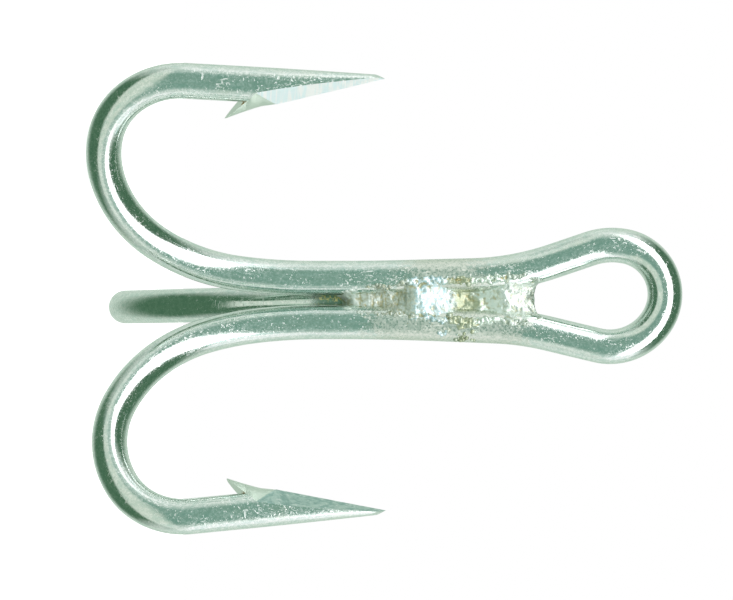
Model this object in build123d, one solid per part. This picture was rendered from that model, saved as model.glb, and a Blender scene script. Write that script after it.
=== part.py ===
from build123d import *
from math import cos, radians, sin
import os

# A brazed treble fishing hook of about size 5/0. One wire makes the two front hooks and, doubled back
# in the middle, the pear-shaped eye. A second wire makes the single hook, whose shank lies in the
# groove behind the front two. Braze metal joins the three shanks.
#
# Millimetres. +Z runs up the shanks to the eye, which lies in the XZ plane, and the origin is on the
# shanks' middle line, level with the eye's round end. The single hook stands out along +Y. The front
# hooks stand out to -X (left) and +X (right), and a little forward, towards -Y.

# Wire and shanks
WIRE_D = 2.9
WIRE_R = WIRE_D / 2
SHANK_X = 1.83            # each front shank's distance from the middle line
SHANK_JOIN_Z = -23.5      # height on the straight shanks where the eye's loop meets the hooks
BACK_SHANK_Y = 2.46       # the single hook's shank lies behind the front two
BACK_SHANK_TOP = -6.7     # the height of its square-cut end, at the eye's crotch
BACK_PIVOT_Z = -15.5      # height where the single hook crosses the middle line
BACK_LEAN = 1.35          # degrees that it leans, which brings its bend to the right

# The eye's loop, from the left shank over the top. A straight is (length,) and an arc is (radius,
# turn in degrees), positive to the right. The loop closes on the right shank by itself.
EYE_START_Z = -22.3
EYE_RUNS = [(180.0, -1.5), (6.0,), (23.0, -17.2), (3.22,), (5.8, 30.4), (4.07, 104.9), (4.66, 76.9),
            (4.2,), (22.6, -11.2)]
EYE_LAST_R = 200.0

# Hooks: the height where the shank starts to bend, and the bend's arcs as (radius, turn)
FRONT_SPREAD = 30.0       # degrees that the front hooks' planes stand forward of the eye's plane
LEFT_BEND_Z = -25.0
LEFT_ARCS = [(40.0, 8.8), (14.88, 28.1), (10.58, 44.6), (8.63, 23.1), (6.4, 78.9)]
RIGHT_BEND_Z = -24.25
RIGHT_ARCS = [(40.0, 7.8), (22.8, 10.7), (11.7, 47.6), (8.31, 55.1), (5.82, 65.0)]
BACK_BEND_Z = -23.9       # the single hook kinks outward below the braze, then bends wider
BACK_ARCS = [(6.0, 9.7), (24.0, 29.7), (17.4, 29.5), (7.0, 30.0), (5.6, 87.1)]
TIP_Z = -19.0             # height of the three tips

# Point, drawn on the limb as (distance back from the tip, distance inward from the limb's axis).
# Two flat facets meet in a ridge on the inner side, and a short bevel cuts the outer side.
RIDGE_AT_TIP = -1.18
RIDGE_SLOPE = 0.33
FACET_HALF_ANGLE = 36.5
BEVEL_LENGTH = 1.4
BEVEL_DEPTH = 0.27

# Barb: a sliver of the wire's inner side, cut from behind and lifted, with two sloping sides
BARB_TIP = (12.85, 3.27)
BARB_KNEE = (10.3, 2.24)
BARB_NOSE = (7.9, 1.35)
BARB_ROOT = (11.15, 1.1)
BARB_CUT_START = (14.2, 1.5)
BARB_CORE = 0.9           # the barb's solid reaches this far inside the wire
BARB_HALF_ANGLE = 43.0

# Braze: the front fill's face, as (height, y) from its lower end up to the eye's crotch
BRAZE_FRONT_FACE = [(-22.2, 0.7), (-20.0, -0.4), (-17.6, -0.95), (-14.3, -1.3), (-11.5, -1.0),
                    (-7.0, -1.0), (-6.45, -0.6)]
BRAZE_SIDE_LOW_Z = -21.5
BRAZE_SIDE_TOP_Z = -7.4
BRAZE_SIDE_WRAP = 38.0    # degrees round each wire that a side fillet covers
BRAZE_SIDE_GAP = 0.25     # a side fillet starts this far outside the line between the wires' axes


def chain(start, heading, runs):
    """Tangent straights and arcs in one plane: their edges, the last point and the last heading."""
    edges = []
    point = Vector(*start)
    for run in runs:
        direction = Vector(cos(radians(heading)), sin(radians(heading)))
        if len(run) == 1:
            edge = Line(point, point + direction * run[0])
        else:
            radius, turn = run
            edge = JernArc(point, direction, radius, turn)
            heading += turn
        edges.append(edge)
        point = edge @ 1
    return edges, point, heading


def tube(edges):
    """Round wire along a chain of edges."""
    path = Wire(edges)
    return sweep(Plane(origin=path @ 0, z_dir=path % 0) * Circle(WIRE_R), path=path)


def eye_loop():
    """The centreline of the eye and of both shanks above SHANK_JOIN_Z, seen from the front."""
    runs = [(EYE_START_Z - SHANK_JOIN_Z,)]
    for run in EYE_RUNS:
        runs.append(run if len(run) == 1 else (run[0], -run[1]))
    edges, point, heading = chain((-SHANK_X, SHANK_JOIN_Z), 90, runs)
    lean = heading + 90
    last_arc_shift = EYE_LAST_R * (1 - cos(radians(lean)))
    slant = abs((SHANK_X - point.X + last_arc_shift) / sin(radians(lean)))
    closing, point, heading = chain((point.X, point.Y), heading, [(slant,), (EYE_LAST_R, -lean)])
    end = Line(point, (SHANK_X, SHANK_JOIN_Z))
    return [Plane.XZ * edge for edge in edges + closing + [end]]


def hook_line(x, y, angle, top_z, bend_z, arcs):
    """A hook's centreline from top_z to its tip, in the upright plane at angle through x, y.

    Also the limb's own plane: its origin is at the tip, X runs back down the limb and Y inward.
    """
    outward = Vector(cos(radians(angle)), sin(radians(angle)), 0)
    side = Vector(outward.Y, -outward.X, 0)
    plane = Plane(origin=(x, y, 0), x_dir=outward, z_dir=side)
    bend, bend_end, heading = chain((0, bend_z), -90, arcs)
    limb_up = Vector(cos(radians(heading)), sin(radians(heading)))
    tip = bend_end + limb_up * ((TIP_Z - bend_end.Y) / limb_up.Y)
    edges = [Line((0, top_z), (0, bend_z))] + bend + [Line(bend_end, tip)]
    down = plane.from_local_coords(tip - limb_up) - plane.from_local_coords(tip)
    limb = Plane(origin=plane.from_local_coords(tip), x_dir=down, z_dir=-side)
    return [plane * edge for edge in edges], limb


def prism(points):
    """A polygon on the limb's plane, thickened well past the wire on both sides."""
    return extrude(make_face(Polyline(*points, close=True)), 2 * WIRE_D, both=True)


def wedge(start, end, half_angle):
    """A wedge whose sharp edge runs from start to end, farther back, and which opens outward."""
    edge = Vector(*end) - Vector(*start)
    depth = 4 * WIRE_D
    half_width = depth * sin(radians(half_angle)) / cos(radians(half_angle))
    section = make_face(Polyline((0, 0), (half_width, depth), (-half_width, depth), close=True))
    plane = Plane(origin=Vector(*start), x_dir=(0, 0, 1), z_dir=edge.normalized())
    return extrude(plane * section, edge.length)


def shape_point(wire, limb):
    """Cuts the point's facets and bevel on a wire's limb, then cuts and lifts its barb."""
    far = 2 * WIRE_D
    ahead = -1
    reach = (WIRE_R / sin(radians(FACET_HALF_ANGLE)) - RIDGE_AT_TIP) / RIDGE_SLOPE
    facets = wedge((ahead, RIDGE_AT_TIP + RIDGE_SLOPE * ahead),
                   (reach, RIDGE_AT_TIP + RIDGE_SLOPE * reach), FACET_HALF_ANGLE)
    wire -= limb * (prism([(ahead, -far), (reach, -far), (reach, far), (ahead, far)]) - facets)

    bevel_slope = BEVEL_DEPTH / BEVEL_LENGTH
    wire -= limb * prism([(BEVEL_LENGTH, -WIRE_R), (ahead, BEVEL_DEPTH - ahead * bevel_slope - WIRE_R),
                          (ahead, -far), (BEVEL_LENGTH, -far)])
    wire -= limb * prism([BARB_CUT_START, BARB_ROOT, (BARB_ROOT[0], far), (BARB_CUT_START[0], far)])

    crest = BARB_KNEE[1] + (BARB_ROOT[0] - BARB_KNEE[0]) * RIDGE_SLOPE
    back = prism([BARB_ROOT, BARB_TIP, BARB_KNEE, (BARB_KNEE[0], BARB_CORE)])
    front = prism([(BARB_ROOT[0], BARB_CORE), BARB_ROOT, BARB_KNEE, BARB_NOSE])
    wire += limb * (back & wedge(BARB_KNEE, BARB_TIP, BARB_HALF_ANGLE))
    wire += limb * (front & wedge(BARB_NOSE, (BARB_ROOT[0], crest), BARB_HALF_ANGLE))
    return wire


def double_hook():
    left, left_limb = hook_line(-SHANK_X, 0, 180 + FRONT_SPREAD, SHANK_JOIN_Z, LEFT_BEND_Z, LEFT_ARCS)
    right, right_limb = hook_line(SHANK_X, 0, -FRONT_SPREAD, SHANK_JOIN_Z, RIGHT_BEND_Z, RIGHT_ARCS)
    wire = tube(left + eye_loop() + right)
    return shape_point(shape_point(wire, left_limb), right_limb)


def single_hook():
    line, limb = hook_line(0, BACK_SHANK_Y, 90, BACK_SHANK_TOP, BACK_BEND_Z, BACK_ARCS)
    pivot = Axis((0, BACK_SHANK_Y, BACK_PIVOT_Z), (0, -1, 0))
    return shape_point(tube(line), limb).rotate(pivot, BACK_LEAN)


def braze_front():
    """The fill between the front shanks, down to the single hook's shank, before the wires are cut."""
    low_z, top_z = BRAZE_FRONT_FACE[0][0], BRAZE_FRONT_FACE[-1][0]
    groove = make_face(Polyline((-SHANK_X, -WIRE_R), (SHANK_X, -WIRE_R), (SHANK_X, 0), (0, BACK_SHANK_Y),
                                (-SHANK_X, 0), close=True))
    face = [(y, z) for z, y in BRAZE_FRONT_FACE]
    profile = make_face(Polyline(*face, (BACK_SHANK_Y, top_z), (BACK_SHANK_Y, low_z), close=True))
    return extrude(Plane.XY.offset(low_z) * groove, top_z - low_z) & extrude(
        Plane.YZ * profile, WIRE_D, both=True)


def braze_side(side):
    """The fillet between one front shank and the single hook's, before the wires are cut."""
    front = Vector(side * SHANK_X, 0)
    back = Vector(0, BACK_SHANK_Y)
    across = (back - front).normalized()
    out = Vector(side * abs(across.Y), abs(across.X))
    reach = across * WIRE_R * cos(radians(BRAZE_SIDE_WRAP))
    rise = out * WIRE_R * sin(radians(BRAZE_SIDE_WRAP))
    gap = out * BRAZE_SIDE_GAP
    face = make_face(Polyline(front + reach + rise, back - reach + rise, back + gap, front + gap,
                              close=True))
    return extrude(Plane.XY.offset(BRAZE_SIDE_LOW_Z) * face, BRAZE_SIDE_TOP_Z - BRAZE_SIDE_LOW_Z)


def main():
    double = double_hook()
    single = single_hook()
    braze = {"braze_front": braze_front(), "braze_left": braze_side(-1), "braze_right": braze_side(1)}
    parts = {"double_hook": double, "single_hook": single}
    for name, metal in braze.items():
        parts[name] = metal - double - single
    os.makedirs("parts", exist_ok=True)
    for name, part in parts.items():
        export_step(part, f"parts/{name}.step")


main()
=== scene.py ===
from math import cos, pi, radians, sin, tan

import bmesh
import bpy
import numpy as np
from mathutils import Matrix, Vector, noise


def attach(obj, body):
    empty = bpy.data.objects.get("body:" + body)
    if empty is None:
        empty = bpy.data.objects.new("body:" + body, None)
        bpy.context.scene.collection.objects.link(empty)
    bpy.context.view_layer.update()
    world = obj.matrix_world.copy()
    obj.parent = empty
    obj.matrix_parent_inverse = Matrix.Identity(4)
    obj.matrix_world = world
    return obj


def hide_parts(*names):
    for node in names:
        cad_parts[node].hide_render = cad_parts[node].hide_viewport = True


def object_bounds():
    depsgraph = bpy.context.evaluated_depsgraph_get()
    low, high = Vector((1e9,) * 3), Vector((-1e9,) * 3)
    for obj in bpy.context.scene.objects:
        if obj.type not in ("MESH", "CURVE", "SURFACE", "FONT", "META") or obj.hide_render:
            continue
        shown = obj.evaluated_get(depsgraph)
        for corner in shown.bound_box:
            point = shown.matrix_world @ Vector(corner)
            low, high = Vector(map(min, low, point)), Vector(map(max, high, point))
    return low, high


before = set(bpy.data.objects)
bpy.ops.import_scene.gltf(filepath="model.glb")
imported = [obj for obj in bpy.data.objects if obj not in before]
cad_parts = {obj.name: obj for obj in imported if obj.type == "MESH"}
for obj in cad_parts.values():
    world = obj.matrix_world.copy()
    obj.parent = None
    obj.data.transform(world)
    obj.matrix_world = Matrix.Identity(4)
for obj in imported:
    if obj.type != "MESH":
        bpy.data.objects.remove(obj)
CAD_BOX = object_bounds()

# A brazed treble hook, in the CAD model's frame: +Z along the shanks to the eye, the eye in the XZ
# plane, the single hook towards +Y. Dimensions are in millimetres. The wires' radius and centrelines
# repeat the CAD's, and the points, barbs and braze are close to it.
MM = 0.001
UP = Vector((0, 0, 1))

# Wires: runs are straights as (length,) and arcs as (radius, turn in degrees)
WIRE_R = 1.45
SHANK_X = 1.83
SHANK_JOIN_Z = -23.5
BACK_SHANK_Y = 2.46
BACK_SHANK_TOP = -6.7
BACK_PIVOT_Z = -15.5
BACK_LEAN = 1.35
EYE_START_Z = -22.3
EYE_RUNS = [(180.0, -1.5), (6.0,), (23.0, -17.2), (3.22,), (5.8, 30.4), (4.07, 104.9), (4.66, 76.9),
            (4.2,), (22.6, -11.2)]
EYE_LAST_R = 200.0
FRONT_SPREAD = 30.0
LEFT_BEND_Z = -25.0
LEFT_ARCS = [(40.0, 8.8), (14.88, 28.1), (10.58, 44.6), (8.63, 23.1), (6.4, 78.9)]
RIGHT_BEND_Z = -24.25
RIGHT_ARCS = [(40.0, 7.8), (22.8, 10.7), (11.7, 47.6), (8.31, 55.1), (5.82, 65.0)]
BACK_BEND_Z = -23.9
BACK_ARCS = [(6.0, 9.7), (24.0, 29.7), (17.4, 29.5), (7.0, 30.0), (5.6, 87.1)]
TIP_Z = -19.0

# Point and barb, as (distance back from the tip, distance inward from the limb's axis)
RIDGE_AT_TIP = -1.18
RIDGE_SLOPE = 0.33
FACET_TAN = 0.65          # half the width between the facets, per depth below their ridge
POINT_R = [(0.0, 0.42), (1.6, 0.68), (5.3, 1.13), (8.5, 1.37), (10.4, WIRE_R)]   # tapers to the tip
BEVEL_LENGTH = 1.4
BEVEL_DEPTH = 0.27
BEVEL_POWER = 1.6         # 1 is a flat bevel, more curves in towards the tip
HUMP_START = 8.7          # the barb's root swells out of the facets from here
HUMP_SIDE = 10.4          # and reaches the wire's round side here
CREST = [(8.7, 1.66), (9.3, 1.80), (9.9, 1.93), (10.5, 2.17), (11.6, 2.66), (12.7, 3.19), (13.0, 3.27)]
BARB_ROOT = (11.15, 1.1)
BARB_CUT_START = (14.0, 1.44)
PLAIN_FROM = 15.6         # behind this the limb is plain round wire
HUMP_POWER = 1.35         # 1 is a sharp roof, 2 a round back
BARB_MIN_HEIGHT = 0.02
BARB_TAPER = 0.6          # how its width follows its height: 1 in step, less stays wide for longer
BARB_END_POWER = 6        # and closes round at the end: more is blunter
NOTCH_SHADOW_AND_STAIN_SHARE = 0.34   # painted shadow and residue cover this share of its underside, from the notch
LONG_BARB = (12.85, 3.22)
SHORT_BARB = (12.6, 2.98)

# Mesh density
STEP = 0.14
POINT_STEP = 0.08
LOWER = 22                # faces on each half of a section, from its outer side to the facet's edge
FACET = 7                 # from there to the hump's edge, or half way to the ridge
HUMP = 7                  # and on to the ridge
UPPER = FACET + HUMP
AROUND = 2 * (LOWER + UPPER)
BARB_STATIONS = 24
EVEN_SAMPLES = 200        # an outline is first cut this fine, and then into its own faces
CORNER_WEIGHT = 0.6       # millimetres of outline that a radian of turning counts for
ROOF_CROWDING = 1.5       # the barb's roof has more samples at its foot
CUT_END_RINGS = ((0.97, 0.05), (0.88, 0.09), (0.5, 0.10))   # a square-cut end: (size, height)
MORPH = 1.0               # the facet's faces crowd together over this length beside the hump
TIP_END = 0.02            # the last ring is about this far back from the tip, closed by a point
TINY = 1e-6
WELD = 0.003
SHARP_CORNER = 14.0       # degrees; a smaller corner is shaded smooth

# What a face is, for its finish. The facets all share one grind; the left and back hooks' facets get a
# painted highlight, and the right hook's get painted shade.
PLAIN, LIT_FACET, SHADED_FACET, BARB = range(4)
SEED = 7


# ---------------- wire centrelines

def chain(start, heading, runs, step=STEP):
    """Tangent straights (length,) and arcs (radius, turn), as samples (x, y, heading)."""
    x, y = start
    samples = [(x, y, heading)]
    for run in runs:
        turn = 0 if len(run) == 1 else run[1]
        length = run[0] * abs(radians(turn)) if turn else run[0]
        count = max(1, round(length / step))
        half = radians(turn / count / 2)
        piece = length / count * (sin(half) / half if turn else 1)
        for _ in range(count):
            middle = radians(heading) + half
            x += piece * cos(middle)
            y += piece * sin(middle)
            heading += turn / count
            samples.append((x, y, heading))
    return samples


def in_space(samples, origin, outward):
    """Places samples in an upright plane: (point, tangent, in-plane normal) for each."""
    placed = []
    for x, y, heading in samples:
        c, s = cos(radians(heading)), sin(radians(heading))
        placed.append((origin + outward * x + UP * y, outward * c + UP * s, outward * -s + UP * c))
    return placed


def hook_line(x, y, angle, top_z, bend_z, arcs):
    """A hook's stations from top_z to the tip, and each one's distance back from the tip."""
    outward = Vector((cos(radians(angle)), sin(radians(angle)), 0))
    bend = chain((0, top_z), -90, [(top_z - bend_z,)] + arcs)
    end_x, end_y, heading = bend[-1]
    length = (TIP_Z - end_y) / sin(radians(heading))
    limb = chain((end_x, end_y), heading, [(length,)], POINT_STEP)[1:]
    backs = [PLAIN_FROM] * len(bend)
    backs += [length * (1 - i / len(limb)) for i in range(1, len(limb) + 1)]
    return in_space(bend + limb, Vector((x, y, 0)), outward), backs


def eye_line():
    """The eye's loop from the left shank to the right one, joined where the shanks are straight."""
    runs = [(EYE_START_Z - SHANK_JOIN_Z,)]
    for run in EYE_RUNS:
        runs.append(run if len(run) == 1 else (run[0], -run[1]))
    loop = chain((-SHANK_X, SHANK_JOIN_Z), 90, runs)
    x, y, heading = loop[-1]
    lean = heading + 90
    slant = abs((SHANK_X - x + EYE_LAST_R * (1 - cos(radians(lean)))) / sin(radians(lean)))
    loop += chain((x, y), heading, [(slant,), (EYE_LAST_R, -lean)])[1:]
    x, y, heading = loop[-1]
    loop += chain((x, y), -90, [(y - SHANK_JOIN_Z,)])[1:]
    return in_space(loop, Vector((0, 0, 0)), Vector((1, 0, 0)))


# ---------------- wire sections


def point_radius(back):
    return float(np.interp(back, *zip(*POINT_R)))


def circle_side(height, radius=WIRE_R):
    """Half the width at a height, of a circle that touches the wire's outer side."""
    above = height + WIRE_R - radius
    return (radius ** 2 - min(abs(above), radius) ** 2) ** 0.5


def spread(outline, count):
    """Spaces count + 1 points along an outline by length and by turning, so that corners get more."""
    outline = np.array(outline)
    steps = np.diff(outline, axis=0)
    lengths = np.hypot(steps[:, 0], steps[:, 1])
    headings = np.unwrap(np.arctan2(steps[:, 1], steps[:, 0]))
    turns = np.abs(np.diff(headings, append=headings[-1]))
    weights = np.concatenate([[0], np.cumsum(lengths + CORNER_WEIGHT * turns)])
    wanted = np.linspace(0, weights[-1], count + 1)
    return np.stack([np.interp(wanted, weights, outline[:, i]) for i in (0, 1)], axis=1)


def arc_outline(low, high, radius=WIRE_R, samples=60):
    """The right side between two heights of a circle that touches the wire's outer side."""
    middle = radius - WIRE_R
    start = np.arcsin(np.clip((low - middle) / radius, -1, 1))
    end = np.arcsin(np.clip((high - middle) / radius, -1, 1))
    angles = np.linspace(start, end, samples)
    return [(radius * cos(a), middle + radius * sin(a)) for a in angles]


def crest(back):
    """Height of the barb's back above the limb's axis, from the hump's start to the barb's tip."""
    return float(np.interp(back, *zip(*CREST)))


def hump_outline(half_width, foot, top, samples=40):
    """The barb's rounded roof, from its foot at half_width up to its crest."""
    xs = half_width * (1 - np.linspace(0, 1, samples) ** ROOF_CROWDING)
    return [(x, top - (top - foot) * (x / half_width) ** HUMP_POWER) for x in xs]


def facet_foot(ridge, radius=WIRE_R):
    """Where a facet with its ridge at this height meets the round side."""
    a = 1 + FACET_TAN ** 2
    rise = ridge + WIRE_R - radius
    depth = (rise + max(0, radius ** 2 * a - (rise * FACET_TAN) ** 2) ** 0.5) / a
    return depth * FACET_TAN, ridge - depth


def blend(a, b, amount):
    return a + (b - a) * amount


def two_parts(outline, share):
    """Spaces an outline's points so that its first FACET faces cover a share of its length."""
    even = spread(outline, EVEN_SAMPLES)
    places = np.concatenate([np.linspace(0, share, FACET + 1), np.linspace(share, 1, HUMP + 1)[1:]])
    index = np.linspace(0, 1, EVEN_SAMPLES + 1)
    return np.stack([np.interp(places, index, even[:, i]) for i in (0, 1)], axis=1)


def half_section(back):
    """Right half of the limb's section at a distance back from the tip, as lower and upper parts."""
    plain = WIRE_R * sin(pi * (LOWER / (LOWER + UPPER) - 0.5))
    if back >= PLAIN_FROM:
        foot = plain
        upper = spread(arc_outline(foot, WIRE_R), UPPER)
    elif back > BARB_CUT_START[0]:
        foot = blend(BARB_CUT_START[1], plain,
                     (back - BARB_CUT_START[0]) / (PLAIN_FROM - BARB_CUT_START[0]))
        upper = spread(arc_outline(foot, WIRE_R), UPPER)
    elif back > BARB_ROOT[0]:
        share = (back - BARB_ROOT[0]) / (BARB_CUT_START[0] - BARB_ROOT[0])
        foot = blend(BARB_ROOT[1], BARB_CUT_START[1], share)
        upper = spread([(circle_side(foot), foot), (0, foot)], UPPER)
    elif back > HUMP_SIDE:
        share = (back - HUMP_SIDE) / (BARB_ROOT[0] - HUMP_SIDE)
        low = facet_foot(RIDGE_AT_TIP + RIDGE_SLOPE * HUMP_SIDE)[1]
        foot = blend(low, BARB_ROOT[1], share)
        upper = two_parts(hump_outline(circle_side(foot), foot, crest(back)), 0.5 * share)
    else:
        ridge = RIDGE_AT_TIP + RIDGE_SLOPE * back
        radius = point_radius(back)
        side, foot = facet_foot(ridge, radius)
        floor = bevel_floor(back)
        if foot < floor:
            side, foot = (ridge - floor) * FACET_TAN, floor
        if back > HUMP_START:
            half_width = side * (back - HUMP_START) / (HUMP_SIDE - HUMP_START)
            edge = (half_width, ridge - half_width / FACET_TAN)
            roof = spread(hump_outline(*edge, crest(back)), HUMP)
            upper = np.vstack([spread([(side, foot), edge], FACET), roof[1:]])
        else:
            share = 1 - 0.5 * min(1, (HUMP_START - back) / MORPH)
            upper = two_parts([(side, foot), (0, ridge)], share)
        if back < BEVEL_LENGTH:
            arc = arc_outline(floor, foot, radius) if foot > floor else [(side, foot)]
            return spread([(0, floor)] + arc, LOWER), upper
        return spread(arc_outline(-WIRE_R, foot, radius), LOWER), upper
    return spread(arc_outline(-WIRE_R, foot), LOWER), upper


def bevel_floor(back):
    """Height of the point's outer side, which curves in towards the tip."""
    return BEVEL_DEPTH * max(0, 1 - back / BEVEL_LENGTH) ** BEVEL_POWER - WIRE_R


def section(back):
    """A closed section, as (side, inward) points, from its outermost point round through its ridge."""
    lower, upper = half_section(back)
    right = np.vstack([lower, upper[1:]])
    left = right[-2:0:-1] * (-1, 1)
    return np.vstack([right, left])


# ---------------- wire meshes

class Skin:
    """Collects a mesh. Each vertex also has its place along and around its wire, for the finish.

    Each face has an area code, and each vertex an amount of stain, which paints shadow and residue into the
    barbs' notches.
    """

    def __init__(self):
        self.points = []
        self.wrap = []
        self.stain = []
        self.faces = []
        self.areas = []

    def add(self, point, wrap, stain=0.0):
        self.points.append(point)
        self.wrap.append(wrap)
        self.stain.append(stain)
        return len(self.points) - 1

    def face(self, corners, area=PLAIN):
        self.faces.append(corners)
        self.areas.append(area)

    def bridge(self, ring_a, ring_b, areas=None):
        for i in range(len(ring_a)):
            j = (i + 1) % len(ring_a)
            self.face((ring_a[i], ring_a[j], ring_b[j], ring_b[i]), areas[i] if areas else PLAIN)

    def fan(self, ring, centre, areas=None):
        for i in range(len(ring)):
            self.face((ring[i], ring[(i + 1) % len(ring)], centre), areas[i] if areas else PLAIN)

    def build(self, name):
        mesh = bpy.data.meshes.new(name)
        mesh.from_pydata([tuple(point * MM) for point in self.points], [], self.faces)
        wrap = mesh.attributes.new("wrap", "FLOAT_VECTOR", "POINT")
        wrap.data.foreach_set("vector", np.array(self.wrap, dtype=np.float32).ravel())
        stain = mesh.attributes.new("stain", "FLOAT", "POINT")
        stain.data.foreach_set("value", np.array(self.stain, dtype=np.float32))
        area = mesh.attributes.new("area", "FLOAT", "FACE")
        area.data.foreach_set("value", np.array(self.areas, dtype=np.float32))
        piece = bpy.data.objects.new(name, mesh)
        bpy.context.scene.collection.objects.link(piece)
        return piece


def add_ring(skin, station, outline, travel, roll=0.0, turn=1):
    """Adds one section's vertices. roll and turn set where the finish's seam-free wrap starts."""
    point, tangent, inward = station
    side = tangent.cross(inward)
    ring = []
    for index, (x, y) in enumerate(outline):
        angle = roll + turn * 2 * pi * index / AROUND
        wrap = (WIRE_R * cos(angle), WIRE_R * sin(angle), travel)
        ring.append(skin.add(point + side * float(x) + inward * float(y), wrap))
    return ring


def ring_areas(back, facet):
    """What each face round the limb is, at a distance back from the tip."""
    areas = [PLAIN] * AROUND
    if back < BARB_ROOT[0]:
        for i in range(UPPER):
            area = BARB if back > HUMP_SIDE or (i >= FACET and back > HUMP_START) else facet
            areas[LOWER + i] = areas[AROUND - 1 - LOWER - i] = area
    return areas


def add_eye(skin):
    """The eye's tube: its two end rings, and how far along the wire they are."""
    line = eye_line()
    outline = section(PLAIN_FROM)
    travel = 0.0
    rings = []
    for index, station in enumerate(line):
        if index:
            travel += (station[0] - line[index - 1][0]).length
        rings.append(add_ring(skin, station, outline, travel))
        if index:
            skin.bridge(rings[-2], rings[-1])
    return (rings[0], 0.0, -1), (rings[-1], travel, 1)


def wrap_start(skin, end_ring, station):
    """Roll and turn that carry the finish on from an end ring to a hook that starts at station."""
    point, tangent, inward = station
    side = tangent.cross(inward)
    outline = section(PLAIN_FROM)
    angles = []
    for x, y in outline[:2]:
        place = point + side * float(x) + inward * float(y)
        nearest = min(end_ring, key=lambda i: (skin.points[i] - place).length)
        angles.append(np.arctan2(skin.wrap[nearest][1], skin.wrap[nearest][0]))
    change = (angles[1] - angles[0] + pi) % (2 * pi) - pi
    return angles[0], 1 if change > 0 else -1


def add_barb(skin, tip_station, barb_tip, root_ring, cut_ring, travel):
    """Grows the barb over the cut, from the upper half of the section at its root to its tip."""
    tip, tangent, inward = tip_station
    side = tangent.cross(inward)
    ring = root_ring[LOWER:AROUND - LOWER + 1] + cut_ring[AROUND - LOWER - 1:LOWER:-1]
    # The underside next to the notch gets full stain, which paints shadow and residue there.
    for index in range(2 * UPPER, len(ring)):
        skin.stain[ring[index]] = 1.0
    base_width = circle_side(BARB_ROOT[1])
    base_height = crest(BARB_ROOT[0]) - BARB_ROOT[1]
    for station in range(1, BARB_STATIONS):
        share = station / BARB_STATIONS
        back = blend(BARB_ROOT[0], barb_tip[0], share)
        under = blend(BARB_ROOT[1], barb_tip[1], share)
        top = max(crest(back), under + BARB_MIN_HEIGHT)
        half_width = base_width * (min(1, (top - under) / base_height) ** BARB_TAPER
                                   * (1 - share ** BARB_END_POWER) ** 0.5)
        roof = spread(hump_outline(half_width, under, top), UPPER)
        right = [tuple(place) for place in roof]
        outline = right + [(-x, y) for x, y in right[-2::-1]]
        outline += [(half_width * (i / UPPER - 1), under) for i in range(1, 2 * UPPER)]
        new_ring = []
        for index, (x, y) in enumerate(outline):
            place = tip - tangent * back + side * float(x) + inward * float(y)
            stain = max(0, 1 - share / NOTCH_SHADOW_AND_STAIN_SHARE) if index >= 2 * UPPER else 0
            new_ring.append(skin.add(place, (float(x), float(y), travel - back), stain))
        skin.bridge(ring, new_ring, [BARB] * len(ring))
        ring = new_ring
    end = tip - tangent * barb_tip[0] + inward * (barb_tip[1] + crest(barb_tip[0])) * 0.5
    skin.fan(ring, skin.add(end, (0, 0, travel)), [BARB] * len(ring))


def add_hook(skin, hook, facet, barb_tip, start=None):
    """A whole hook from its shank's top to its tip. start is the eye's end that it carries on."""
    line, backs = hook
    travel, direction, roll, turn = 0.0, 1, 0.0, 1
    if start:
        end_ring, travel, direction = start
        roll, turn = wrap_start(skin, end_ring, line[0])
    ring = None
    first_ring = None
    for index, (station, back) in enumerate(zip(line, backs)):
        if index:
            travel += direction * (station[0] - line[index - 1][0]).length
        if back < TIP_END:
            break
        new_ring = add_ring(skin, station, section(back), travel, roll, turn)
        first_ring = first_ring or new_ring
        if ring and back <= BARB_ROOT[0] < last_back:
            root_station = line[-1][0] - line[-1][1] * BARB_ROOT[0], line[-1][1], line[-1][2]
            cut_ring = add_ring(skin, root_station, section(BARB_ROOT[0] + TINY), travel, roll, turn)
            root_ring = add_ring(skin, root_station, section(BARB_ROOT[0]), travel, roll, turn)
            skin.bridge(ring, cut_ring)
            add_barb(skin, line[-1], barb_tip, root_ring, cut_ring, travel)
            ring = root_ring
            last_back = BARB_ROOT[0]
        if ring:
            skin.bridge(ring, new_ring, ring_areas((back + last_back) / 2, facet))
        ring, last_back = new_ring, back
    point = skin.add(line[-1][0] + line[-1][2] * RIDGE_AT_TIP, (0, 0, travel))
    skin.fan(ring, point, ring_areas(0, facet))
    return first_ring


def add_cut_end(skin, ring, station):
    """Closes a square-cut wire end, with a slightly worn edge."""
    point, tangent, inward = station
    side = tangent.cross(inward)
    for size, height in CUT_END_RINGS:
        new_ring = []
        for index, (x, y) in enumerate(section(PLAIN_FROM)):
            place = point - tangent * height + (side * float(x) + inward * float(y)) * size
            new_ring.append(skin.add(place, skin.wrap[ring[index]]))
        skin.bridge(ring, new_ring)
        ring = new_ring
    skin.fan(ring, skin.add(point - tangent * CUT_END_RINGS[-1][1], (0, 0, 0)))


def weld(piece):
    """Joins rings that meet, points all faces outward, and keeps real corners sharp."""
    mesh = bmesh.new()
    mesh.from_mesh(piece.data)
    bmesh.ops.remove_doubles(mesh, verts=mesh.verts, dist=WELD * MM)
    bmesh.ops.dissolve_degenerate(mesh, edges=mesh.edges, dist=TINY * MM)
    bmesh.ops.recalc_face_normals(mesh, faces=mesh.faces)
    mesh.to_mesh(piece.data)
    mesh.free()
    piece.data.shade_smooth()
    piece.data.set_sharp_from_angle(angle=radians(SHARP_CORNER))


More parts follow.
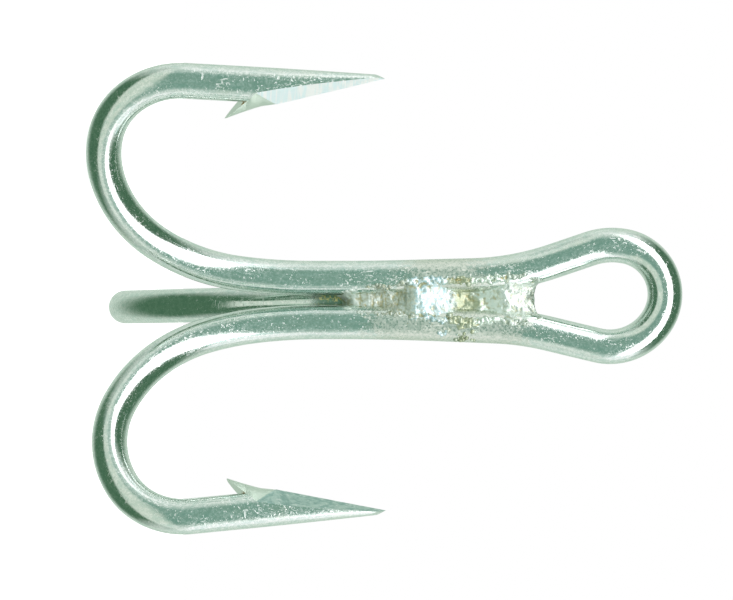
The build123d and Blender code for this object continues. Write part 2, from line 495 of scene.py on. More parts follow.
def make_double_hook():
    skin = Skin()
    left_end, right_end = add_eye(skin)
    left = hook_line(-SHANK_X, 0, 180 + FRONT_SPREAD, SHANK_JOIN_Z, LEFT_BEND_Z, LEFT_ARCS)
    right = hook_line(SHANK_X, 0, -FRONT_SPREAD, SHANK_JOIN_Z, RIGHT_BEND_Z, RIGHT_ARCS)
    # The left hook's facets get a painted highlight, the right hook's painted shade.
    add_hook(skin, left, LIT_FACET, LONG_BARB, left_end)
    add_hook(skin, right, SHADED_FACET, SHORT_BARB, right_end)
    piece = skin.build("double_hook_wire")
    weld(piece)
    return piece


def make_single_hook():
    skin = Skin()
    hook = hook_line(0, BACK_SHANK_Y, 90, BACK_SHANK_TOP, BACK_BEND_Z, BACK_ARCS)
    # Its facets get a painted highlight.
    first_ring = add_hook(skin, hook, LIT_FACET, LONG_BARB)
    add_cut_end(skin, first_ring, hook[0][0])
    pivot = Vector((0, BACK_SHANK_Y, BACK_PIVOT_Z))
    lean = Matrix.Rotation(radians(-BACK_LEAN), 3, "Y")
    skin.points = [pivot + lean @ (point - pivot) for point in skin.points]
    piece = skin.build("single_hook_wire")
    weld(piece)
    return piece


# ---------------- braze

VOXEL = 0.06
GROOVE_COLUMNS = 28
ROW_STEP = 0.12
FILL_ROUNDNESS = 2.1      # 2 is a round swelling, more is flatter
RELAX_FACTOR, RELAX_STEPS = 0.5, 2
HOLLOW_STEPS = 10
SHANK_TOP_Z = -2          # the front shanks' lines are looked up below this height

# A fillet's rows from its lower end: (height, contact angle round each wire from the outward
# direction, height of the middle above the line between the wires' axes)
FRONT_ROWS = [(-22.5, 66, -0.7), (-22.1, 50, -0.1), (-21.5, 42, 0.30), (-20.6, 37, 0.44),
              (-19.6, 34, 0.52), (-18.6, 31, 0.50), (-17.8, 28, 0.62), (-17.3, 24, 0.95), (-16.8, 20, 1.30),
              (-16.4, 18, 1.42), (-15.8, 17, 1.40), (-15.1, 16, 1.24), (-14.4, 17, 1.05), (-13.8, 18, 0.84),
              (-13.3, 19, 0.62), (-12.8, 20, 0.42), (-12.2, 20, 0.30), (-11.6, 20, 0.30), (-10.6, 20, 0.44),
              (-9.6, 20, 0.66), (-8.9, 20, 0.82), (-8.3, 21, 0.72), (-7.7, 23, 0.52), (-7.1, 30, 0.36),
              (-6.7, 40, 0.16), (-6.45, 50, 0.0)]
SIDE_ROWS = [(-21.9, 70, 0.2), (-21.2, 54, 0.62), (-19.0, 46, 0.85), (-15.0, 42, 1.0),
             (-11.0, 44, 0.92), (-8.4, 50, 0.8), (-7.2, 62, 0.45)]
CROTCH_LIFT = 0.75        # how far the web's top edge rises towards each wire
END_SLANT = 0.6           # the front fill ends this much lower at the left shank, and higher at the right
END_REACH = 1.6           # both shape the fill over this length
FRONT_DEPTH, SIDE_DEPTH = 0.85, 0.55   # a fill's back corners, inward of and behind the wires' axes

# The fills' skin: (cycles per millimetre, height) of its lumps, and of its grit
LUMPS = ((0.8, 0.16), (1.7, 0.07))
GRIT = ((3.6, 0.03), (8.0, 0.012))
CRUST_LOW_Z, CRUST_HIGH_Z, CRUST_EDGE = -21.6, -16.8, 0.8   # where the fills are ribbed across
CRUST_ACROSS, CRUST_ALONG, CRUST_HEIGHT = 2.2, 6.5, 0.035

# Rows of beads where the front fill meets a shank: (shank, lowest, highest, angle from the front, radii)
COARSE, MEDIUM, FINE = (0.12, 0.23), (0.09, 0.17), (0.07, 0.13)
BEAD_ROWS = [("left", -17.8, -7.0, 19, COARSE), ("left", -16.9, -8.6, 12, MEDIUM),
             ("left", -20.5, -17.8, 31, FINE), ("right", -16.8, -7.0, 20, COARSE),
             ("right", -21.2, -16.6, 31, FINE), ("right", -14.6, -10.2, 11, COARSE),
             ("right", -13.2, -10.8, 2, MEDIUM)]
BEAD_WANDER = 0.08        # radians
BEAD_SPACING = (0.7, 1.7)   # in radii
BEAD_UNEVEN = (0.8, 1.25)
ROW_BEAD_LIFT, LOOSE_BEAD_LIFT = 0.25, 0.15   # a bead's middle stands this share of its radius proud

# Loose beads on the front shanks: (shank, how many, heights, angles, radii)
SPATTER = [("right", 46, (-14.4, -10.9), (-12, 62), (0.07, 0.15)),
           ("right", 26, (-17.5, -8.0), (-22, 8), (0.05, 0.09)),
           ("left", 30, (-15.5, -8.6), (-2, 20), (0.05, 0.10))]

# The side fills face outward and, by this share, back. They have beads along both edges and between.
SIDE_BACKWARD = 0.75
SIDE_BEADS = 90
SIDE_BEAD_Z = (-21.0, -7.6)
SIDE_BEAD_EDGES = (0.18, 0.82)
SIDE_BEAD_SPREAD = (0.2, 0.8)
SIDE_BEAD_RADII = (0.06, 0.14)
SIDE_BEAD_SINK = 0.02


def shanks():
    """The axes of the left, right and back shanks, each as a function of height."""
    places = [place for place, _, _ in eye_line()]
    half = len(places) // 2
    left, right = places[:half], places[half:]
    pivot = Vector((0, BACK_SHANK_Y, BACK_PIVOT_Z))

    def smooth_axis(stations):
        stations = sorted((place for place in stations if place.z < SHANK_TOP_Z), key=lambda place: place.z)
        heights = [place.z for place in stations]
        xs = [place.x for place in stations]
        return lambda z: Vector((float(np.interp(z, heights, xs)), 0, z))

    def back(z):
        return Vector(((pivot.z - z) * tan(radians(BACK_LEAN)), BACK_SHANK_Y, z))

    return smooth_axis(left), smooth_axis(right), back


def groove_fill(axis_a, axis_b, outward, rows, depth, lift, slant):
    """A closed fill in the groove between two shanks: its points and faces, in millimetres."""
    heights, angles, middles = zip(*rows)
    count = round((heights[-1] - heights[0]) / ROW_STEP)
    points = []
    ring_size = GROOVE_COLUMNS + 3
    for row in range(count + 1):
        z = blend(heights[0], heights[-1], row / count)
        angle = radians(float(np.interp(z, heights, angles)))
        middle = float(np.interp(z, heights, middles))
        a, b = axis_a(z), axis_b(z)
        along = (b - a).normalized()
        out = (outward - along * outward.dot(along)).normalized()
        edge_a = a + (along * sin(angle) + out * cos(angle)) * WIRE_R
        edge_b = b + (-along * sin(angle) + out * cos(angle)) * WIRE_R
        edge = WIRE_R * cos(angle)
        near_top = max(0, 1 - (heights[-1] - z) / END_REACH)
        near_end = max(0, 1 - (z - heights[0]) / END_REACH)
        for column in range(GROOVE_COLUMNS + 1):
            u = 2 * column / GROOVE_COLUMNS - 1
            base = edge_a.lerp(edge_b, (u + 1) / 2)
            rise = (middle - edge) * (1 - abs(u) ** FILL_ROUNDNESS)
            points.append(base + out * rise + UP * (lift * near_top * abs(u) ** 3 + slant * near_end * u))
        points.append(b - along * depth - out * depth)
        points.append(a + along * depth - out * depth)
    faces = []
    for row in range(count):
        for i in range(ring_size):
            j = (i + 1) % ring_size
            lower, upper = row * ring_size, (row + 1) * ring_size
            faces.append((lower + i, lower + j, upper + j, upper + i))
    faces.append(tuple(range(ring_size))[::-1])
    faces.append(tuple(count * ring_size + i for i in range(ring_size)))
    return points, faces


def add_bead(mesh, place, radius, random):
    """A slightly uneven bead of metal."""
    shape = Matrix.Diagonal([radius * random.uniform(*BEAD_UNEVEN) for _ in range(3)]).to_4x4()
    bmesh.ops.create_icosphere(mesh, subdivisions=2, radius=1, matrix=Matrix.Translation(place) @ shape)


def on_wire(axis, outward, angle, height):
    """A point on a shank's skin, at an angle from outward towards +X."""
    across = Vector((1, 0, 0)) if abs(outward.y) > 0.5 else Vector((0, 1, 0))
    return axis + (outward * cos(angle) + across * sin(angle)) * (WIRE_R + height)


def sculpted(name, points, faces, beads):
    """Fuses a fill and its beads into one skin, then roughens it."""
    data = bpy.data.meshes.new(name)
    data.from_pydata([tuple(point) for point in points], [], faces)
    mesh = bmesh.new()
    mesh.from_mesh(data)
    bmesh.ops.recalc_face_normals(mesh, faces=mesh.faces)
    random = np.random.RandomState(SEED)
    for place, radius in beads:
        add_bead(mesh, place, radius, random)
    mesh.to_mesh(data)
    mesh.free()
    piece = bpy.data.objects.new(name, data)
    bpy.context.scene.collection.objects.link(piece)
    remesh = piece.modifiers.new("fuse", "REMESH")
    remesh.mode = "VOXEL"
    remesh.voxel_size = VOXEL
    relax = piece.modifiers.new("relax", "SMOOTH")
    relax.factor = RELAX_FACTOR
    relax.iterations = RELAX_STEPS
    depsgraph = bpy.context.evaluated_depsgraph_get()
    fused = bpy.data.meshes.new_from_object(piece.evaluated_get(depsgraph))
    piece.modifiers.clear()
    piece.data = fused
    bpy.data.meshes.remove(data)
    fused.name = name
    moved = [(vertex.co + vertex.normal * roughness(vertex.co)) * MM for vertex in fused.vertices]
    for vertex, place in zip(fused.vertices, moved):
        vertex.co = place
    fused.shade_smooth()
    note_hollows(fused)
    return piece


def roughness(place):
    """How far the braze's skin stands out at a place: lumps, grit, and ribs near its lower end."""
    rise = sum(noise.noise(place * scale) * height for scale, height in LUMPS + GRIT)
    ribbed = max(0, min(1, (CRUST_HIGH_Z - place.z) / CRUST_EDGE, (place.z - CRUST_LOW_Z) / CRUST_EDGE))
    ribs = noise.noise(Vector((place.x * CRUST_ACROSS, 0, place.z * CRUST_ALONG)))
    return rise + ribs * CRUST_HEIGHT * ribbed


def note_hollows(mesh):
    """Stores how deep each vertex lies below its surroundings, in millimetres. The braze paints shade into
    the deeper ones.
    """
    count = len(mesh.vertices)
    places, normals = np.empty(count * 3), np.empty(count * 3)
    mesh.vertices.foreach_get("co", places)
    mesh.vertices.foreach_get("normal", normals)
    places, normals = places.reshape(-1, 3) / MM, normals.reshape(-1, 3)
    pairs = np.empty(len(mesh.edges) * 2, dtype=int)
    mesh.edges.foreach_get("vertices", pairs)
    start, end = pairs.reshape(-1, 2).T
    neighbours = np.bincount(pairs, minlength=count)[:, None]
    smooth = places
    for _ in range(HOLLOW_STEPS):
        total = np.zeros_like(smooth)
        for axis in range(3):
            total[:, axis] += np.bincount(start, smooth[end, axis], minlength=count)
            total[:, axis] += np.bincount(end, smooth[start, axis], minlength=count)
        smooth = total / neighbours
    depth = ((smooth - places) * normals).sum(axis=1)
    mesh.attributes.new("hollow", "FLOAT", "POINT").data.foreach_set("value", depth.astype(np.float32))


def row_beads(random, axis, outward, side, low, high, angle, radii):
    """A row of beads along the edge where the front fill meets a shank."""
    beads = []
    z = low
    while z < high:
        wander = radians(angle) + random.normal(0, BEAD_WANDER)
        radius = random.uniform(*radii)
        beads.append((on_wire(axis(z), outward, side * wander, radius * ROW_BEAD_LIFT), radius))
        z += random.uniform(*BEAD_SPACING) * radius
    return beads


def spatter(random, axis, outward, count, z_range, angle_range, radii):
    """Loose beads on a shank's skin."""
    beads = []
    for _ in range(count):
        z = random.uniform(*z_range)
        angle = radians(random.uniform(*angle_range))
        radius = random.uniform(*radii)
        beads.append((on_wire(axis(z), outward, angle, radius * LOOSE_BEAD_LIFT), radius))
    return beads


def make_braze():
    """The three fills. Each one's beads are part of its skin."""
    left, right, back = shanks()
    front = Vector((0, -1, 0))
    random = np.random.RandomState(SEED)
    inner_side = {"left": (left, 1), "right": (right, -1)}
    beads = []
    for name, low, high, angle, radii in BEAD_ROWS:
        shank, side = inner_side[name]
        beads += row_beads(random, shank, front, side, low, high, angle, radii)
    for name, count, heights, angles, radii in SPATTER:
        beads += spatter(random, inner_side[name][0], front, count, heights, angles, radii)
    points, faces = groove_fill(left, right, front, FRONT_ROWS, FRONT_DEPTH, CROTCH_LIFT, END_SLANT)
    pieces = [(sculpted("braze_front_fill", points, faces, beads), "braze_front")]
    for side, shank, node in ((-1, left, "braze_left"), (1, right, "braze_right")):
        outward = Vector((side, SIDE_BACKWARD, 0)).normalized()
        points, faces = groove_fill(shank, back, outward, SIDE_ROWS, SIDE_DEPTH, 0.0, 0.0)
        beads = side_beads(random, shank, back, outward)
        pieces.append((sculpted(node + "_fill", points, faces, beads), node))
    return pieces


def side_beads(random, shank, back, outward):
    """Beads on a side fill, mostly along its two edges."""
    row_heights, _, middles = zip(*SIDE_ROWS)
    beads = []
    for _ in range(SIDE_BEADS):
        z = random.uniform(*SIDE_BEAD_Z)
        share = random.choice([*SIDE_BEAD_EDGES, random.uniform(*SIDE_BEAD_SPREAD)])
        height = float(np.interp(z, row_heights, middles)) - SIDE_BEAD_SINK
        beads.append((shank(z).lerp(back(z), share) + outward * height, random.uniform(*SIDE_BEAD_RADII)))
    return beads


# ---------------- stage, light and camera

FLOOR_SIZE = 300.0
FLOOR_GREY = 0.8
FLOOR_GLOW = 0.75
CAMERA_DISTANCE = 300.0
CAMERA_HEIGHT = -20.44
VIEW_WIDTH = 61.288       # what the picture's width spans at the hook
SENSOR = 36.0
CLIP_START = 10.0


def make_camera():
    data = bpy.data.cameras.new("camera")
    data.sensor_width = SENSOR
    data.lens = SENSOR * CAMERA_DISTANCE / VIEW_WIDTH
    data.clip_start = CLIP_START * MM
    camera = bpy.data.objects.new("camera", data)
    right, up, back = Vector((0, 0, 1)), Vector((-1, 0, 0)), Vector((0, -1, 0))
    place = Vector((0, -CAMERA_DISTANCE, CAMERA_HEIGHT)) * MM
    camera.matrix_world = Matrix.Translation(place) @ Matrix((right, up, back)).transposed().to_4x4()
    bpy.context.scene.collection.objects.link(camera)
    bpy.context.scene.camera = camera


def make_floor():
    """A pale sheet that the hook's three bends stand on. The metal doesn't mirror it."""
    low = min(corner[2] for corner in CAD_BOX)
    mesh = bmesh.new()
    bmesh.ops.create_grid(mesh, x_segments=1, y_segments=1, size=FLOOR_SIZE / 2 * MM)
    bmesh.ops.translate(mesh, verts=mesh.verts, vec=(0, 0, low))
    data = bpy.data.meshes.new("floor")
    mesh.to_mesh(data)
    mesh.free()
    floor = bpy.data.objects.new("floor", data)
    bpy.context.scene.collection.objects.link(floor)
    material = Nodes(bpy.data.materials.new("pale_floor"))
    shader = material.shader
    shader.inputs["Base Color"].default_value = (FLOOR_GREY, FLOOR_GREY, FLOOR_GREY, 1)
    shader.inputs["Roughness"].default_value = 0.9
    shader.inputs["Specular IOR Level"].default_value = 0.1
    shader.inputs["Emission Color"].default_value = (1, 1, 1, 1)
    shader.inputs["Emission Strength"].default_value = FLOOR_GLOW
    data.materials.append(material.owner)
    floor.visible_glossy = False


class Nodes:
    """Short calls for building a node tree."""

    def __init__(self, owner):
        self.owner = owner
        owner.use_nodes = True
        self.tree = owner.node_tree
        self.shader = self.tree.nodes.get("Principled BSDF")

    def node(self, kind, inputs=None, **settings):
        made = self.tree.nodes.new(kind)
        for name, value in settings.items():
            setattr(made, name, value)
        for key, value in (inputs or {}).items():
            self.feed(made.inputs[key], value)
        return made

    def feed(self, socket, value):
        if isinstance(value, bpy.types.NodeSocket):
            self.tree.links.new(value, socket)
        else:
            socket.default_value = value

    def math(self, operation, a, b=0.0, c=0.0):
        made = self.node("ShaderNodeMath", {0: a, 1: b, 2: c}, operation=operation)
        return made.outputs[0]

    def times(self, a, b):
        return self.math("MULTIPLY", a, b)

    def plus(self, a, b):
        return self.math("ADD", a, b)

    def minus(self, a, b):
        return self.math("SUBTRACT", a, b)

    def size(self, value):
        return self.math("ABSOLUTE", value)

    def weighted(self, base, layers):
        """The base plus each layer times its weight."""
        for layer, weight in layers:
            base = self.math("MULTIPLY_ADD", layer, weight, base)
        return base

    def span(self, value, low, high, to_low=0.0, to_high=1.0):
        """Maps low..high to to_low..to_high, smoothly and clamped."""
        made = self.node("ShaderNodeMapRange", {0: value, 1: low, 2: high, 3: to_low, 4: to_high},
                         interpolation_type="SMOOTHSTEP")
        return made.outputs[0]

    def near(self, value, centre, inner, outer, most=1.0):
        """Most within the inner distance of a centre, and 0 beyond the outer one."""
        return self.span(self.size(self.minus(value, centre)), inner, outer, most, 0.0)

    def mix(self, amount, a, b):
        made = self.node("ShaderNodeMix", {0: amount, 6: a, 7: b}, data_type="RGBA")
        return made.outputs[2]

    def painted(self, tone, layers):
        """A tone with layers of (amount, colour) over it, in their order."""
        for amount, color in layers:
            tone = self.mix(amount, tone, color)
        return tone

    def noise(self, vector, scale, detail, rough):
        made = self.node("ShaderNodeTexNoise", {"Vector": vector, "Scale": scale, "Detail": detail,
                                                "Roughness": rough})
        return made.outputs[0]

    def scaled(self, vector, factors):
        made = self.node("ShaderNodeVectorMath", {0: vector, 1: factors}, operation="MULTIPLY")
        return made.outputs[0]

    def attribute(self, name, output="Fac"):
        return self.node("ShaderNodeAttribute", attribute_name=name).outputs[output]

    def place_in_mm(self):
        """The place on the object, in millimetres, and its x, y and z."""
        place = self.scaled(self.node("ShaderNodeTexCoord").outputs["Object"], (1 / MM, 1 / MM, 1 / MM))
        return place, self.node("ShaderNodeSeparateXYZ", {0: place}).outputs


# The studio round the hook, in 8-bit colours as clean tin shows them. Its directions are angles in
# degrees about the X axis: 0 is in front, towards -Y, and positive turns towards +Z.
TIN = (0.84, 0.905, 0.865)
KEY = (400, 400, 400)               # a bright soft lamp towards +Z
KEY_AT, KEY_HALF = 34, 16
FILL = (205, 220, 205)              # a weaker one towards -Z
FILL_AT, FILL_HALF = -36, 18
LAMP_EDGE = 10                      # both fade out over this many degrees
CAMERA_SIDE = (125, 160, 145)
FLAG = (75, 110, 85)                # dark cloth on both sides
FLAG_FROM, FLAG_TO = 60, 105
WALL = (190, 210, 195)              # pale behind the hook, from here on round
WALL_FROM = 150

# Pale towards both ends of the X axis, in two steps by the share of a direction that lies along X
ENDS = (215, 230, 220)
ENDS_FIRST = (0.68, 0.955)
ENDS_SHARE = 0.7
ENDS_LAST = (0.965, 0.998)

# A soft lamp near each end of the X axis: its direction, and the cosines from it at the lamp's outer
# edge and where it is full. The one towards -X is weaker.
SIDE_LAMP = (0.965, -0.10, 0.23)
SIDE_LAMP_LIGHT = (246, 253, 250)
SIDE_LAMP_EDGE = (0.945, 0.988)
SIDE_LAMP_SHARES = (0.45, 1.0)
SIDE_LAMP_CHANGE = 0.1              # one share gives way to the other within this much of X = 0


def seen_on_tin(color):
    """The light that makes tin show an 8-bit sRGB colour."""
    return [((value / 255 + 0.055) / 1.055) ** 2.4 / tin for value, tin in zip(color, TIN)]


def make_studio():
    world = bpy.data.worlds.new("studio")
    bpy.context.scene.world = world
    nodes = Nodes(world)
    background = world.node_tree.nodes["Background"]
    direction = nodes.node("ShaderNodeTexCoord").outputs["Generated"]
    parts = nodes.node("ShaderNodeSeparateXYZ", {0: direction}).outputs
    angle = nodes.math("ARCTAN2", parts[2], nodes.times(parts[1], -1.0))
    angle = nodes.times(angle, 180 / pi)
    brightest = max(seen_on_tin(KEY))

    def flat(color):
        return (*(value / brightest for value in seen_on_tin(color)), 1)

    def lamp(centre, half):
        return nodes.near(angle, centre, half - LAMP_EDGE / 2, half + LAMP_EDGE / 2)

    around = nodes.size(angle)
    light = nodes.mix(nodes.span(around, KEY_AT, FLAG_FROM), flat(CAMERA_SIDE), flat(FLAG))
    light = nodes.mix(nodes.span(around, FLAG_TO, WALL_FROM), light, flat(WALL))
    light = nodes.mix(lamp(FILL_AT, FILL_HALF), light, flat(FILL))
    light = nodes.mix(lamp(KEY_AT, KEY_HALF), light, flat(KEY))
    sideways = nodes.size(parts[0])
    light = nodes.mix(nodes.span(sideways, *ENDS_FIRST, 0.0, ENDS_SHARE), light, flat(ENDS))
    light = nodes.mix(nodes.span(sideways, *ENDS_LAST), light, flat(ENDS))
    mirrored = nodes.node("ShaderNodeCombineXYZ", {0: sideways, 1: parts[1], 2: parts[2]}).outputs[0]
    aim = nodes.node("ShaderNodeVectorMath", {0: mirrored, 1: Vector(SIDE_LAMP).normalized()},
                     operation="DOT_PRODUCT")
    strength = nodes.span(parts[0], -SIDE_LAMP_CHANGE, SIDE_LAMP_CHANGE, *SIDE_LAMP_SHARES)
    strength = nodes.times(strength, nodes.span(aim.outputs["Value"], *SIDE_LAMP_EDGE))
    light = nodes.mix(strength, light, flat(SIDE_LAMP_LIGHT))
    nodes.feed(background.inputs["Color"], light)
    background.inputs["Strength"].default_value = brightest
    plain = nodes.node("ShaderNodeBackground", {"Color": (1, 1, 1, 1), "Strength": 1.0})
    seen = nodes.node("ShaderNodeLightPath").outputs["Is Camera Ray"]
    chosen = nodes.node("ShaderNodeMixShader", {0: seen, 1: background.outputs[0], 2: plain.outputs[0]})
    output = world.node_tree.nodes["World Output"]
    nodes.tree.links.new(chosen.outputs[0], output.inputs["Surface"])


# ---------------- finishes

# Patterns that follow a wire: (scale along it, as a share of that across it, scale, detail, roughness)
DRAWING_LINES = (0.04, 6.0, 3.0, 0.6)
STREAKS = (0.08, 3.0, 2.0, 0.6)
MOTTLE = (0.6, 2.6, 3.0, 0.6)
PITS = (0.7, 9.0, 1.0, 0.5)
DASHES = (0.28, 4.6, 2.0, 0.6)

# Two that follow it at a slant and across, as (scale, detail, roughness), each with its own stretch
SCRATCHES = (4.2, 1.0, 0.5)
SCRATCH_TURN, SCRATCH_STRETCH = (0.5, 0.7, 0.3), (1.0, 0.22, 1.0)
GRIND_STROKES, GRIND_STRETCH = (3.6, 1.0, 0.5), (0.1, 0.1, 1)

# Patterns in space: (scale, detail, roughness)
GRAIN = (5.0, 2.0, 0.6)
CLOUD = (0.42, 2.0, 0.5)
CRUST = (2.2, 3.0, 0.7)
BRAZE_GRIT = (8.0, 4.0, 0.7)
BRAZE_PATCHES = (0.9, 2.0, 0.5)
BRAZE_STAIN = (3.4, 3.0, 0.6)

TIN_DARK, TIN_PALE = (0.70, 0.80, 0.75, 1), (0.94, 0.98, 0.95, 1)
TIN_MOTTLED, TIN_STREAKED = (0.58, 0.74, 0.68, 1), (0.70, 0.76, 0.70, 1)
TIN_CLOUDED, TIN_MARKED = (0.76, 0.83, 0.72, 1), (0.92, 0.97, 0.94, 1)
BARB_TONE = (0.72, 0.80, 0.71, 1)
# A painted highlight on the lit facets: pale blue and white, streaked by grinding.
FACET_HIGHLIGHT_BLUE, FACET_HIGHLIGHT_WHITE = (0.84, 0.95, 0.98, 1), (1.0, 1.0, 1.0, 1)
# Painted shade on the right hook's facets, mottled dark and pale.
FACET_SHADE_DARK, FACET_SHADE_PALE = (0.36, 0.54, 0.51, 1), (0.62, 0.76, 0.72, 1)
FROST_DARK, FROST_PALE = (0.60, 0.66, 0.57, 1), (0.80, 0.82, 0.73, 1)
# The groove's dark green is painted shade; its yellow crumbs are residue.
GROOVE_SHADE_GREEN, FLUX_YELLOW = (0.08, 0.24, 0.13, 1), (0.66, 0.64, 0.20, 1)
# The brown below is painted shadow with residue in the barbs' notches.
NOTCH_SHADOW_AND_STAIN_BROWN = (0.34, 0.23, 0.07, 1)

BRAZE_DARK, BRAZE_GREY = (0.40, 0.50, 0.42, 1), (0.62, 0.70, 0.63, 1)
BRAZE_PALE, BRAZE_BRIGHT = (0.66, 0.75, 0.69, 1), (0.74, 0.86, 0.78, 1)
# A painted highlight in white and painted shade in blue, for the braze's lump.
LUMP_SHADE_BLUE, LUMP_HIGHLIGHT_WHITE = (0.46, 0.66, 0.68, 1), (0.76, 0.87, 0.86, 1)
FROSTED_BRAZE, TIP_BRAZE = (0.44, 0.49, 0.40, 1), (0.70, 0.79, 0.73, 1)
# The brown is painted shade in the braze's hollows.
# The olive is painted shade on the lump's flank towards the eye; straw is residue.
FLANK_SHADE_OLIVE, STRAW, HOLLOW_SHADE_BROWN = (0.40, 0.46, 0.27, 1), (0.46, 0.50, 0.30, 1), (0.40, 0.38, 0.18, 1)

# The tin is frosted round this height: fully and at all within these distances. The skew carries it
# further along the right shank than the left.
FROST_Z, FROST_REACH = -13.8, (3.2, 6.4)
FROST_SKEW = 1.6
FROST_WIDTH = (4.0, 5.0)  # it leaves the hooks' limbs clear
FROST_BACK = (-0.6, 0.6)  # and fades out from the shanks' front to their back

# Painted shade, with yellow residue crumbs, lies on the wires' facing sides in the groove, above this
# height. With no upper limit, it also marks the rear of the eye's top.
GROOVE_HALF_WIDTH = 1.5
GROOVE_NEAR, GROOVE_FAR = (0.1, 0.5), (1.5, 2.1)
GROOVE_LOW = (-25.6, -23.9)

# Heights on the braze, whose edges wander with its patches
ZONE_WANDER = 3.2
BRAZE_TIP = (-21.2, -20.0)
BRAZE_FROSTED = (-18.0, -16.2)
LUMP_Z, FLANK_Z, SMOOTH_Z = -15.1, -12.4, -10.2


def tin_marks(nodes, along, wrap, cloud):
    """Pits, dashes and slanting scratches, which crowd together in some places."""
    crowding = nodes.span(cloud, 0.38, 0.66, -0.06, 0.02)
    pits = nodes.span(nodes.plus(along(PITS), crowding), 0.64, 0.74)
    dashes = nodes.span(nodes.plus(along(DASHES), crowding), 0.63, 0.70)
    slanted = nodes.node("ShaderNodeMapping", {0: wrap, 2: SCRATCH_TURN, 3: SCRATCH_STRETCH}).outputs[0]
    scratches = nodes.span(nodes.plus(nodes.noise(slanted, *SCRATCHES), crowding), 0.655, 0.69)
    return nodes.math("MAXIMUM", nodes.math("MAXIMUM", pits, dashes), scratches)


def frosted_zone(nodes, parts, mottle):
    """How frosted the tin is: fully beside the braze's lump, and less further along the shanks."""
    reach = nodes.size(nodes.minus(parts[2], FROST_Z))
    reach = nodes.plus(reach, nodes.span(parts[0], -2.0, 2.0, FROST_SKEW, -FROST_SKEW))
    reach = nodes.plus(reach, nodes.span(nodes.size(parts[0]), *FROST_WIDTH, 0.0, 9.0))
    reach = nodes.plus(reach, nodes.span(mottle, 0.3, 0.7, 1.0, -1.0))
    in_front = nodes.span(parts[1], *FROST_BACK, 1.0, 0.0)
    return nodes.times(nodes.span(reach, *FROST_REACH, 1.0, 0.0), in_front)


def groove_zone(nodes, parts, crust):
    """How much painted shade, with yellow residue crumbs, covers the wires in the groove below the braze and
    above it.
    """
    zone = nodes.math("LESS_THAN", nodes.size(parts[0]), GROOVE_HALF_WIDTH)
    zone = nodes.times(zone, nodes.span(parts[1], *GROOVE_NEAR))
    zone = nodes.times(zone, nodes.span(parts[1], *GROOVE_FAR, 1.0, 0.0))
    zone = nodes.times(zone, nodes.span(parts[2], *GROOVE_LOW))
    return nodes.times(zone, nodes.span(crust, 0.30, 0.46, 0.55, 1.0))


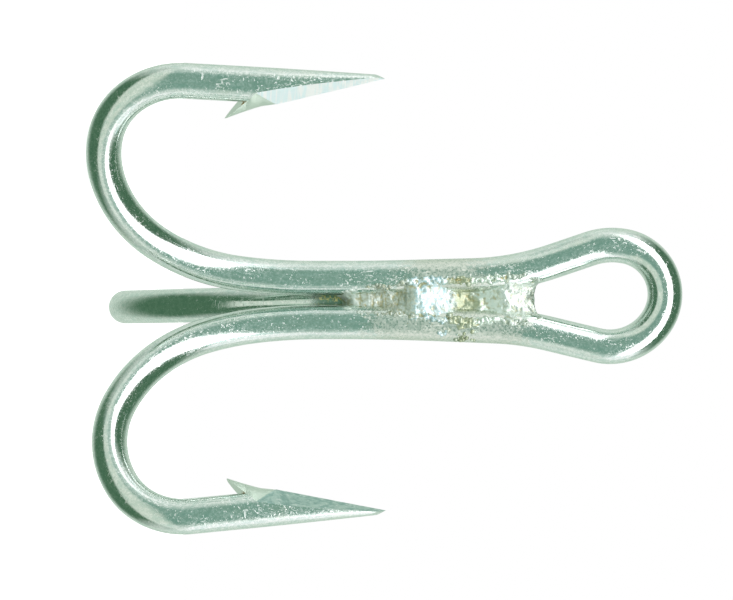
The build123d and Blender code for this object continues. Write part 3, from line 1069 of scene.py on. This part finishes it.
def tinned_wire():
    """Bright tin over drawn steel wire: fine drawing lines, grain, pits, scuffs and scratches.

    The point's facets show grinding strokes across them, with a painted highlight on the left and back
    hooks and painted shade on the right one. Painted shade with yellow residue crumbs darkens the groove
    below the braze, and painted shadow with residue darkens the barbs' notches.
    """
    nodes = Nodes(bpy.data.materials.new("tinned_wire"))
    wrap = nodes.attribute("wrap", "Vector")
    area = nodes.attribute("area")
    place, parts = nodes.place_in_mm()
    codes = (LIT_FACET, SHADED_FACET, BARB)
    bright, painted_shade_facets, barb = [nodes.math("COMPARE", area, code, 0.3) for code in codes]
    facet = nodes.plus(bright, painted_shade_facets)
    round_wire = nodes.minus(nodes.minus(1.0, facet), barb)

    def along(pattern):
        return nodes.noise(nodes.scaled(wrap, (1, 1, pattern[0])), *pattern[1:])

    mottle = along(MOTTLE)
    grain = nodes.noise(place, *GRAIN)
    cloud = nodes.noise(place, *CLOUD)
    crust = nodes.noise(place, *CRUST)
    strokes = nodes.noise(nodes.scaled(wrap, GRIND_STRETCH), *GRIND_STROKES)
    unmarked = nodes.math("MAXIMUM", barb, bright)
    marks = nodes.times(tin_marks(nodes, along, wrap, cloud), nodes.minus(1.0, unmarked))
    by_braze = frosted_zone(nodes, parts, mottle)
    in_groove = groove_zone(nodes, parts, crust)
    uneven = nodes.span(crust, 0.3, 0.7, -0.35, 0.35)
    notch_shadow_and_stain = nodes.span(nodes.plus(nodes.attribute("stain"), uneven), 0.45, 0.6)
    shade_and_residue = nodes.math("MAXIMUM", in_groove, notch_shadow_and_stain)

    grind_and_highlight = nodes.mix(nodes.span(strokes, 0.40, 0.60), FACET_HIGHLIGHT_BLUE, FACET_HIGHLIGHT_WHITE)
    facet_shade_tone = nodes.mix(nodes.span(mottle, 0.38, 0.60), FACET_SHADE_DARK, FACET_SHADE_PALE)
    frost = nodes.mix(nodes.span(grain, 0.38, 0.62), FROST_DARK, FROST_PALE)
    groove_shade_and_crumbs = nodes.mix(nodes.span(crust, 0.54, 0.64), GROOVE_SHADE_GREEN, FLUX_YELLOW)
    tone = nodes.mix(nodes.span(grain, 0.35, 0.65), TIN_DARK, TIN_PALE)
    nodes.feed(nodes.shader.inputs["Base Color"], nodes.painted(tone, [
        (nodes.span(mottle, 0.36, 0.54, 0.65, 0.0), TIN_MOTTLED),
        (nodes.span(along(STREAKS), 0.38, 0.60, 0.35, 0.0), TIN_STREAKED),
        (nodes.span(cloud, 0.55, 0.75, 0.0, 0.3), TIN_CLOUDED),
        (nodes.times(barb, 0.8), BARB_TONE),
        # painted highlight on the left and back hooks' facets, streaked by grinding
        (bright, grind_and_highlight),
        # painted shade on the right hook's facets
        (nodes.times(painted_shade_facets, 0.9), facet_shade_tone),
        (nodes.times(marks, 0.6), TIN_MARKED),
        (nodes.times(by_braze, 0.75), frost),
        # painted shade in the groove between the wires, with yellow residue crumbs
        (nodes.times(in_groove, 0.9), groove_shade_and_crumbs),
        # painted shadow with residue in the barbs' notches
        (notch_shadow_and_stain, NOTCH_SHADOW_AND_STAIN_BROWN)]))
    # The lit facets are less metallic, which whitens their painted highlight.
    nodes.feed(nodes.shader.inputs["Metallic"], nodes.weighted(1.0, [(shade_and_residue, -0.80), (bright, -0.50)]))

    grained = nodes.times(nodes.span(grain, 0.3, 0.7, -0.05, 0.05), round_wire)
    nodes.feed(nodes.shader.inputs["Roughness"], nodes.weighted(0.14, [
        (grained, 1.0), (marks, 0.24), (facet, 0.16), (barb, 0.16), (shade_and_residue, 0.30), (by_braze, 0.17)]))

    lines = along(DRAWING_LINES)
    height = nodes.weighted(0.0, [(lines, 0.22), (grain, 0.15), (mottle, 0.32), (marks, -0.28)])
    height = nodes.times(height, nodes.plus(round_wire, 0.05))
    height = nodes.weighted(height, [(nodes.times(strokes, facet), 0.25), (nodes.times(crust, shade_and_residue), 1.5)])
    bump = nodes.node("ShaderNodeBump", {"Strength": 0.4, "Distance": 0.02 * MM, "Height": height})
    nodes.feed(nodes.shader.inputs["Normal"], bump.outputs[0])
    return nodes.owner


def braze_metal():
    """Plated braze: frosted at its lower end, with a painted highlight and blue painted shade on its lump,
    painted shade in olive on the lump's flank towards the eye and in brown in its hollows, and straw
    residue.
    """
    nodes = Nodes(bpy.data.materials.new("braze"))
    place, parts = nodes.place_in_mm()
    grit = nodes.noise(place, *BRAZE_GRIT)
    patches = nodes.noise(place, *BRAZE_PATCHES)
    stain = nodes.noise(place, *BRAZE_STAIN)
    hollow = nodes.attribute("hollow")
    zone = nodes.weighted(parts[2], [(nodes.minus(patches, 0.5), ZONE_WANDER)])
    frosted = nodes.span(zone, *BRAZE_FROSTED, 1.0, 0.0)
    lump = nodes.near(zone, LUMP_Z, 1.2, 2.0)

    # painted highlight and painted shade, mottled over the lump
    lump_highlight_and_shade = nodes.mix(nodes.span(stain, 0.40, 0.56), LUMP_SHADE_BLUE, LUMP_HIGHLIGHT_WHITE)
    tone = nodes.mix(nodes.span(grit, 0.35, 0.65), BRAZE_DARK, BRAZE_GREY)
    nodes.feed(nodes.shader.inputs["Base Color"], nodes.painted(tone, [
        (nodes.span(patches, 0.50, 0.60), BRAZE_PALE),
        (nodes.near(zone, SMOOTH_Z, 1.0, 1.7, 0.8), BRAZE_BRIGHT),
        # the lump's painted highlight and shade
        (lump, lump_highlight_and_shade),
        (nodes.times(frosted, nodes.span(stain, 0.42, 0.56)), FROSTED_BRAZE),
        (nodes.span(zone, *BRAZE_TIP, 0.85, 0.0), TIP_BRAZE),
        # painted shade on the lump's flank towards the eye
        (nodes.near(zone, FLANK_Z, 0.4, 1.4, 0.7), FLANK_SHADE_OLIVE),
        (nodes.span(stain, 0.54, 0.66, 0.0, 0.5), STRAW),
        # painted shade in the hollows
        (nodes.span(hollow, 0.004, 0.03, 0.0, 0.8), HOLLOW_SHADE_BROWN)]))
    nodes.shader.inputs["Metallic"].default_value = 0.85
    rough = nodes.span(grit, 0.3, 0.7, 0.30, 0.44)
    nodes.feed(nodes.shader.inputs["Roughness"], nodes.weighted(rough, [(frosted, 0.14), (lump, 0.06)]))
    bump = nodes.node("ShaderNodeBump", {"Strength": 0.35, "Distance": 0.03 * MM, "Height": grit})
    nodes.feed(nodes.shader.inputs["Normal"], bump.outputs[0])
    return nodes.owner


def main():
    double = make_double_hook()
    single = make_single_hook()
    tin = tinned_wire()
    for piece, node in ((double, "double_hook"), (single, "single_hook")):
        piece.data.materials.append(tin)
        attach(piece, "root")
        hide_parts(node)
    metal = braze_metal()
    for piece, node in make_braze():
        piece.data.materials.append(metal)
        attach(piece, "root")
        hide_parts(node)
    make_camera()
    make_studio()
    make_floor()
    bpy.context.scene.view_settings.view_transform = "Standard"


main()
